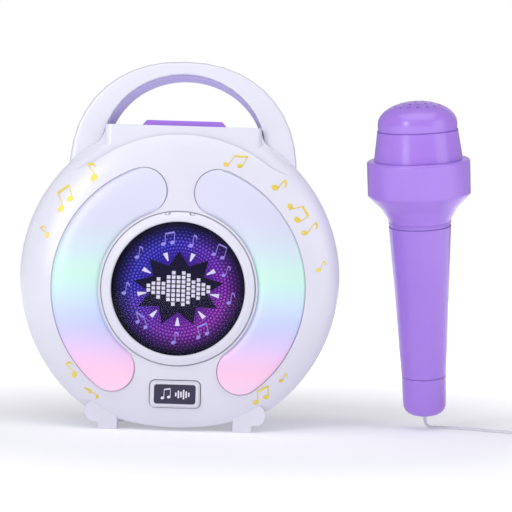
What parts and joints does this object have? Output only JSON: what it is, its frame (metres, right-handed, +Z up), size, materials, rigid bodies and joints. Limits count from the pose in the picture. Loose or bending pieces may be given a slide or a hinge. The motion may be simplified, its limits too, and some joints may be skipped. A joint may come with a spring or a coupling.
{
  "type": "karaoke machine",
  "caption": "Round toy karaoke machine with carrying handle, light panels, lens door over a disc, front button, top keys and a corded microphone.",
  "frame": {"origin": "on the surface under the feet, midway between the machine's left side and the microphone's right side, at mid depth", "axes": "+X to the microphone's side, -Y out of the front, +Z up"},
  "size_m": [0.352, 0.0959, 0.2165],
  "materials": {
    "white_abs": "moulded ABS, soft gloss",
    "frosted_pc": "translucent frosted polycarbonate",
    "clear_pc": "clear polished polycarbonate",
    "purple_abs": "moulded ABS, soft gloss",
    "mic_purple": "moulded ABS, soft gloss",
    "disc_print": "printed polystyrene disc",
    "badge_plate": "printed plate",
    "steel": "plated",
    "board": "solder mask",
    "led": "epoxy",
    "black_abs": "fine texture",
    "paper_cone": "pressed paper",
    "cell_jacket": "plain sleeve",
    "cord_pvc": "soft PVC",
    "nickel": "plated plug"
  },
  "bodies": {
    "case": {"front_shell": "white_abs", "rear_shell": "white_abs", "left_light_panel": "frosted_pc", "right_light_panel": "frosted_pc", "left_led_board": "board", "right_led_board": "board", "panel_leds": "led", "disc_tray": "white_abs", "spindle_motor": "steel", "main_board": "board", "speaker_basket": "black_abs", "speaker_cone": "paper_cone", "speaker_magnet": "steel", "battery_cells": "cell_jacket", "battery_contacts": "steel", "switch_case": "steel", "mic_jack": "black_abs", "case_screws": "steel", "control_panel": "purple_abs", "key_board": "board"},
    "door": {"door_ring": "white_abs", "door_lens": "clear_pc", "door_pin": "steel"},
    "disc": {"music_disc": "disc_print", "turntable": "black_abs", "motor_shaft": "steel"},
    "front_button": {"music_button": "white_abs", "button_plate": "badge_plate"},
    "key_1": {"key_1": "white_abs"},
    "key_2": {"key_2": "white_abs"},
    "key_3": {"key_3": "white_abs"},
    "key_4": {"key_4": "white_abs"},
    "key_5": {"key_5": "white_abs"},
    "switch": {"power_slider": "black_abs"},
    "battery_cover": {"battery_door": "white_abs"},
    "microphone": {"mic_crown": "mic_purple", "mic_upper_collar": "mic_purple", "mic_collar": "mic_purple", "mic_grip": "mic_purple", "mic_tail_cap": "mic_purple", "mic_capsule": "steel", "mic_cord": "cord_pvc", "cord_gland": "cord_pvc", "cord_coil": "cord_pvc", "plug_lead": "cord_pvc", "cord_tie": "white_abs", "plug_body": "cord_pvc", "plug_pin": "nickel"}
  },
  "joints": [
    {"name": "door_hinge", "type": "hinge", "parent": "case", "child": "door", "pos_m": [-0.038, -0.0332, 0.1254], "axis": [-1, 0, 0], "range_deg": [0, 85]},
    {"name": "disc_spin", "type": "hinge", "parent": "case", "child": "disc", "pos_m": [-0.038, -0.02, 0.083], "axis": [0, -1, 0], "continuous": true},
    {"name": "front_button_press", "type": "slide", "parent": "case", "child": "front_button", "axis": [0, 1, 0], "range_m": [0, 0.0012], "stiffness_N_per_m": 400, "springref_m": -0.0003},
    {"name": "key_1_press", "type": "slide", "parent": "case", "child": "key_1", "axis": [0, 0, -1], "range_m": [0, 0.0008], "stiffness_N_per_m": 400, "springref_m": -0.0003},
    {"name": "key_2_press", "type": "slide", "parent": "case", "child": "key_2", "axis": [0, 0, -1], "range_m": [0, 0.0008], "stiffness_N_per_m": 400, "springref_m": -0.0003},
    {"name": "key_3_press", "type": "slide", "parent": "case", "child": "key_3", "axis": [0, 0, -1], "range_m": [0, 0.0008], "stiffness_N_per_m": 400, "springref_m": -0.0003},
    {"name": "key_4_press", "type": "slide", "parent": "case", "child": "key_4", "axis": [0, 0, -1], "range_m": [0, 0.0008], "stiffness_N_per_m": 400, "springref_m": -0.0003},
    {"name": "key_5_press", "type": "slide", "parent": "case", "child": "key_5", "axis": [0, 0, -1], "range_m": [0, 0.0008], "stiffness_N_per_m": 400, "springref_m": -0.0003},
    {"name": "power_slide", "type": "slide", "parent": "case", "child": "switch", "axis": [1, 0, 0], "range_m": [0, 0.004]},
    {"name": "battery_cover_pull", "type": "slide", "parent": "case", "child": "battery_cover", "axis": [0, 1, 0], "range_m": [0, 0.03]},
    {"name": "microphone_lift", "type": "slide", "parent": "case", "child": "microphone", "axis": [0, 0, 1], "range_m": [0, 0.12]}
  ]
}
